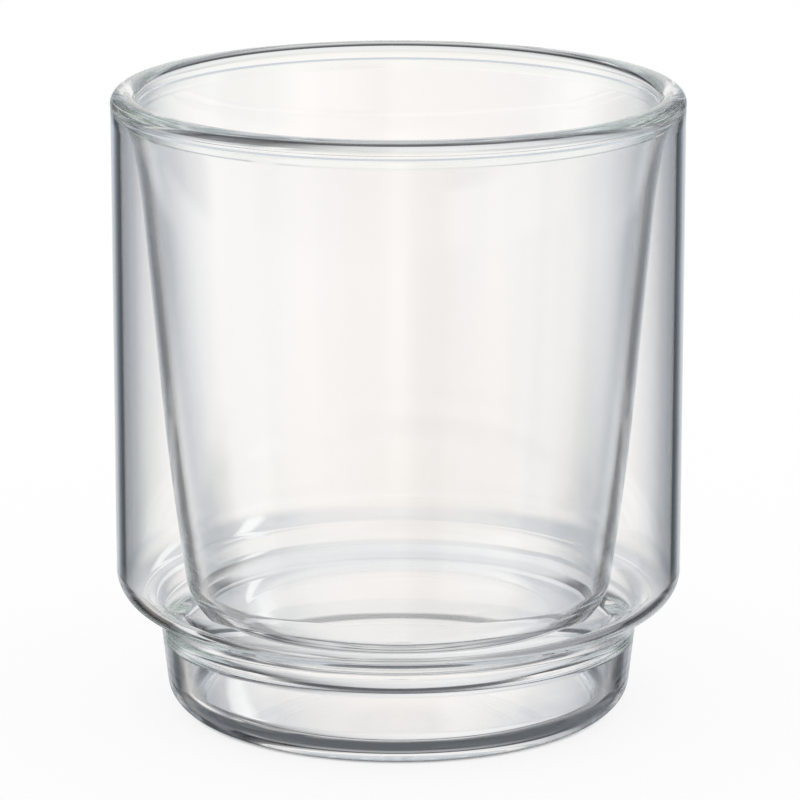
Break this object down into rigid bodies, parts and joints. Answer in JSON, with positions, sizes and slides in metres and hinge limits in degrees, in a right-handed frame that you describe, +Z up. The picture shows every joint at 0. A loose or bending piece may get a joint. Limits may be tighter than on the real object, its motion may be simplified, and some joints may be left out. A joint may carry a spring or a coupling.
{
  "type": "double walled glass cup",
  "caption": "Clear double walled glass cup: a straight outer shell on a stepped foot and a tapered inner bowl, fused at a rounded rim, for hot or cold drinks.",
  "frame": {"origin": "on the cup's axis, in the plane of the flat ring that it stands on", "axes": "+Z up along the axis to the mouth; the cup is round, so X and Y are any two directions across it"},
  "size_m": [0.0814, 0.0814, 0.09],
  "materials": {
    "shell_glass": "blown and fire polished, clear",
    "bowl_glass": "blown and fire polished, clear",
    "rim_glass": "flame fused and rounded, clear with a pale green cast",
    "seal_glass": "melted drop, clear"
  },
  "bodies": {
    "root": {"outer_shell": "shell_glass", "inner_bowl": "bowl_glass", "rim_bead": "rim_glass", "vent_seal": "seal_glass"}
  },
  "joints": []
}
